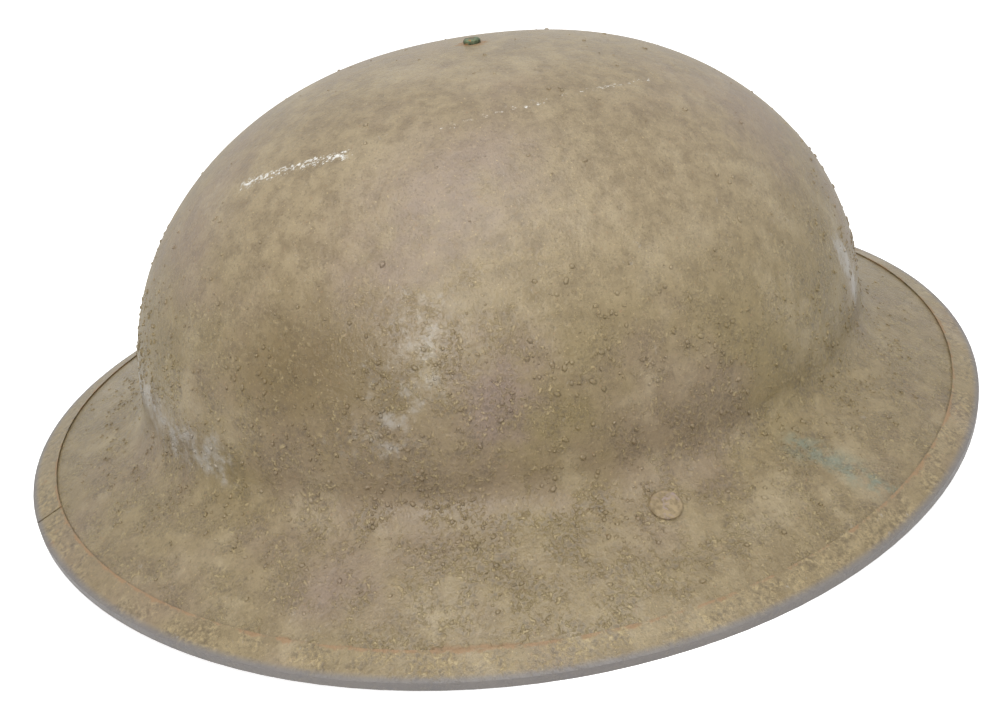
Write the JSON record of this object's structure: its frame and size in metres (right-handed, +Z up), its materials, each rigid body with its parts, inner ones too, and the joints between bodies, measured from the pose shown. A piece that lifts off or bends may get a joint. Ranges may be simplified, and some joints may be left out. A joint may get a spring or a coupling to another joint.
{
  "type": "steel helmet",
  "caption": "Shallow domed steel helmet with a wide sloping brim and folded rim, a riveted net liner with rubber cushions, hinged bails and a buckled chin strap.",
  "frame": {"origin": "centre of the rim's bounding box, on the surface that the rim's side edges rest on", "axes": "+Z up as worn, front of the helmet towards -Y, wearer's left towards +X"},
  "size_m": [0.293, 0.305, 0.1155],
  "materials": {
    "shell_paint": "worn khaki paint with sawdust grit over steel",
    "rim_paint": "khaki paint rubbed to steel and rust at the edge",
    "rivet_paint": "painted steel rivet, rubbed on its face",
    "crown_brass": "dull rivet with green and rust tarnish",
    "washer_steel": "dull steel",
    "rivet_steel": "dull steel",
    "lug_steel": "dark worn steel",
    "bail_steel": "dark worn steel wire",
    "buckle_brass": "dull brass",
    "felt": "grey-brown felt",
    "twine": "tarred cotton twine",
    "patch_leather": "dark brown leather",
    "hoop_leather": "black oilcloth",
    "band_leather": "black-brown oilcloth, creased",
    "strap_leather": "brown strap leather",
    "cushion_rubber": "perished red-brown rubber"
  },
  "bodies": {
    "root": {"bail_lug_left": "lug_steel", "bail_lug_right": "lug_steel", "bail_rivet_left": "rivet_paint", "bail_rivet_right": "rivet_paint", "buckle_frame": "buckle_brass", "chin_strap_long": "strap_leather", "chin_strap_short": "strap_leather", "crown_pad": "felt", "crown_patch": "patch_leather", "crown_rivet": "crown_brass", "crown_washer": "washer_steel", "cushion_01": "cushion_rubber", "cushion_02": "cushion_rubber", "cushion_03": "cushion_rubber", "cushion_04": "cushion_rubber", "cushion_05": "cushion_rubber", "cushion_06": "cushion_rubber", "cushion_07": "cushion_rubber", "cushion_08": "cushion_rubber", "cushion_09": "cushion_rubber", "cushion_10": "cushion_rubber", "cushion_11": "cushion_rubber", "cushion_12": "cushion_rubber", "cushion_rivets": "rivet_steel", "head_band": "band_leather", "liner_hoop": "hoop_leather", "liner_net": "twine", "rim_strip": "rim_paint", "shell": "shell_paint"},
    "bail_right": {"bail_right": "bail_steel"},
    "bail_left": {"bail_left": "bail_steel"},
    "tongue": {"buckle_tongue": "buckle_brass"},
    "keeper": {"strap_keeper": "strap_leather"}
  },
  "joints": [
    {"name": "bail_right_swing", "type": "hinge", "parent": "root", "child": "bail_right", "pos_m": [0.10428, 0.00021, 0.0153], "axis": [0.0239, 0.9997, 0], "range_deg": [-118, 60], "deforming": ["chin_strap_short"]},
    {"name": "bail_left_swing", "type": "hinge", "parent": "root", "child": "bail_left", "pos_m": [-0.10428, 0.00021, 0.0153], "axis": [0.0239, -0.9997, 0], "range_deg": [-118, 60], "deforming": ["chin_strap_long"]},
    {"name": "tongue_lift", "type": "hinge", "parent": "root", "child": "tongue", "pos_m": [0.06823, 0.00046, 0.04657], "axis": [0, -1, 0], "range_deg": [0, 20], "deforming": ["chin_strap_long"]},
    {"name": "keeper_slide", "type": "slide", "parent": "root", "child": "keeper", "axis": [-0.2493, 0, 0.9684], "range_m": [-0.007, 0.002]}
  ]
}
